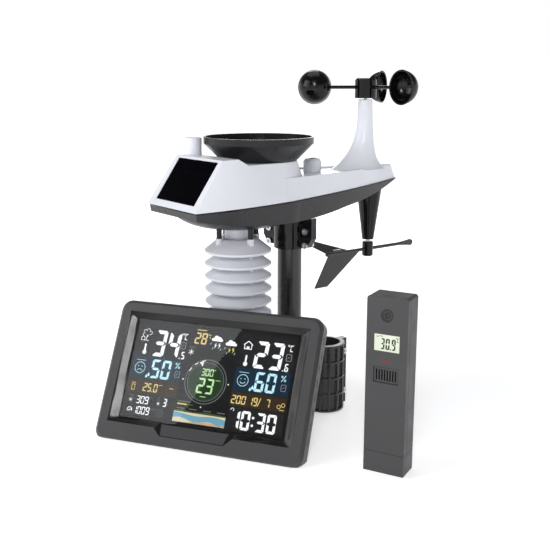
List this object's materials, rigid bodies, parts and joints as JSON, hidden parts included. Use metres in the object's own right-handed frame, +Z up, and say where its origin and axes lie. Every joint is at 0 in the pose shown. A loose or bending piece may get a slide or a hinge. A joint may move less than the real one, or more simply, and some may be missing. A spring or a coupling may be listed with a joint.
{
  "type": "home weather station set",
  "caption": "Pole-mounted wind, rain, sun and climate sensor array with a mast clamp, a tilted colour display console and a slim upright wireless thermometer.",
  "frame": {"origin": "middle of the mast clamp's bore, on the mast's axis", "axes": "+Z up along the mast, +X from the solar panel end towards the anemometer end of the array, +Y from the mast towards the array's own pole"},
  "size_m": [0.4616, 0.3205, 0.392],
  "materials": {
    "housing_white": "satin",
    "hull_grey": "satin",
    "gloss_black": "gloss",
    "funnel_black": "semi-gloss",
    "shield_grey": "satin",
    "fin_grey": "satin",
    "pole_dark": "semi-gloss",
    "bracket_black": "moulded satin",
    "pad_rubber": "matte",
    "steel": "zinc plated",
    "solar_cell": "gloss",
    "level_glass": "clear",
    "screen_grey": "matte",
    "bucket_black": "satin",
    "board_green": "satin",
    "cell_wrap": "gloss",
    "console_case": "fine matte",
    "console_glass": "clear",
    "display": "gloss",
    "key_grey": "satin",
    "foot_rubber": "matte",
    "jack_black": "satin",
    "remote_case": "fine matte",
    "remote_display": "gloss"
  },
  "bodies": {
    "array": {"upper_housing": "housing_white", "lower_housing": "hull_grey", "solar_panel": "solar_cell", "light_sensor_post": "housing_white", "light_sensor_diffuser": "housing_white", "bubble_level_ring": "housing_white", "bubble_level_vial": "level_glass", "anemometer_tower": "housing_white", "shaft_bearings": "steel", "vane_stem": "gloss_black", "bucket_frame": "hull_grey", "shield_dome": "shield_grey", "shield_plates": "shield_grey", "shield_floor": "shield_grey", "shield_posts": "shield_grey", "shield_sleeves": "gloss_black", "climate_probe": "shield_grey", "pole_socket": "gloss_black", "mounting_pole": "pole_dark", "mast_clamp_cap": "bracket_black", "bracket_arm": "bracket_black", "mast_pads": "pad_rubber", "bracket_fasteners": "steel", "array_board": "board_green", "array_batteries": "cell_wrap"},
    "rotor": {"cup_rotor_hub": "gloss_black", "cup_rotor_shaft": "steel", "wind_cup_1": "gloss_black", "wind_cup_2": "gloss_black", "wind_cup_3": "gloss_black"},
    "vane": {"vane_shaft": "steel", "vane_hub": "gloss_black", "vane_pointer": "fin_grey", "vane_tail": "fin_grey"},
    "funnel": {"rain_funnel": "funnel_black", "funnel_filter": "screen_grey"},
    "bucket": {"tipping_bucket": "bucket_black"},
    "array_door": {"array_battery_door": "hull_grey"},
    "console": {"console_bezel": "console_case", "console_rear_case": "console_case", "display_glass": "console_glass", "lcd_panel": "display", "console_batteries": "cell_wrap", "console_board": "board_green", "power_jack": "jack_black", "console_feet": "foot_rubber"},
    "snooze": {"snooze_key": "key_grey"},
    "key_1": {"console_key_1": "key_grey"},
    "key_2": {"console_key_2": "key_grey"},
    "key_3": {"console_key_3": "key_grey"},
    "key_4": {"console_key_4": "key_grey"},
    "stand": {"kickstand": "console_case"},
    "console_door": {"console_battery_cover": "console_case"},
    "remote": {"remote_front_case": "remote_case", "remote_rear_case": "remote_case", "remote_lcd": "remote_display", "remote_sensor_eye": "jack_black", "remote_board": "board_green", "remote_batteries": "cell_wrap"},
    "remote_door": {"remote_battery_cover": "remote_case"}
  },
  "joints": [
    {"name": "rotor_spin", "type": "hinge", "parent": "array", "child": "rotor", "pos_m": [0.1181, 0.068, 0.3289], "axis": [0, 0, 1], "continuous": true},
    {"name": "vane_turn", "type": "hinge", "parent": "array", "child": "vane", "pos_m": [0.1278, 0.068, 0.1245], "axis": [0, 0, 1], "continuous": true},
    {"name": "funnel_lift", "type": "slide", "parent": "array", "child": "funnel", "axis": [0, 0, 1], "range_m": [0, 0.04]},
    {"name": "bucket_tip", "type": "hinge", "parent": "array", "child": "bucket", "pos_m": [-0.04587, 0.068, 0.21562], "axis": [0, 1, 0], "range_deg": [-28, 0]},
    {"name": "array_door_slide", "type": "slide", "parent": "array", "child": "array_door", "axis": [0, 0, -1], "range_m": [0, 0.012]},
    {"name": "console_slide", "type": "slide", "parent": "array", "child": "console", "axis": [-0.8358, -0.549, 0], "range_m": [0, 0.2]},
    {"name": "snooze_press", "type": "slide", "parent": "console", "child": "snooze", "axis": [0.726, 0.4769, -0.4955], "range_m": [0, 0.0008], "stiffness_N_per_m": 600, "springref_m": -0.0006},
    {"name": "key_press_1", "type": "slide", "parent": "console", "child": "key_1", "axis": [-0.726, -0.4769, 0.4955], "range_m": [0, 0.0008], "stiffness_N_per_m": 600, "springref_m": -0.0006},
    {"name": "key_press_2", "type": "slide", "parent": "console", "child": "key_2", "axis": [-0.726, -0.4769, 0.4955], "range_m": [0, 0.0008], "stiffness_N_per_m": 600, "springref_m": -0.0006},
    {"name": "key_press_3", "type": "slide", "parent": "console", "child": "key_3", "axis": [-0.726, -0.4769, 0.4955], "range_m": [0, 0.0008], "stiffness_N_per_m": 600, "springref_m": -0.0006},
    {"name": "key_press_4", "type": "slide", "parent": "console", "child": "key_4", "axis": [-0.726, -0.4769, 0.4955], "range_m": [0, 0.0008], "stiffness_N_per_m": 600, "springref_m": -0.0006},
    {"name": "kickstand_fold", "type": "hinge", "parent": "console", "child": "stand", "pos_m": [-0.13515, 0.022, 0.02394], "axis": [0.549, -0.8358, 0], "range_deg": [-48, 0]},
    {"name": "console_door_slide", "type": "slide", "parent": "console", "child": "console_door", "axis": [0.726, 0.4769, -0.4955], "range_m": [0, 0.02]},
    {"name": "remote_slide", "type": "slide", "parent": "array", "child": "remote", "axis": [-0.91, -0.4147, 0], "range_m": [0, 0.2]},
    {"name": "remote_door_slide", "type": "slide", "parent": "remote", "child": "remote_door", "axis": [0, 0, -1], "range_m": [0, 0.03]}
  ]
}
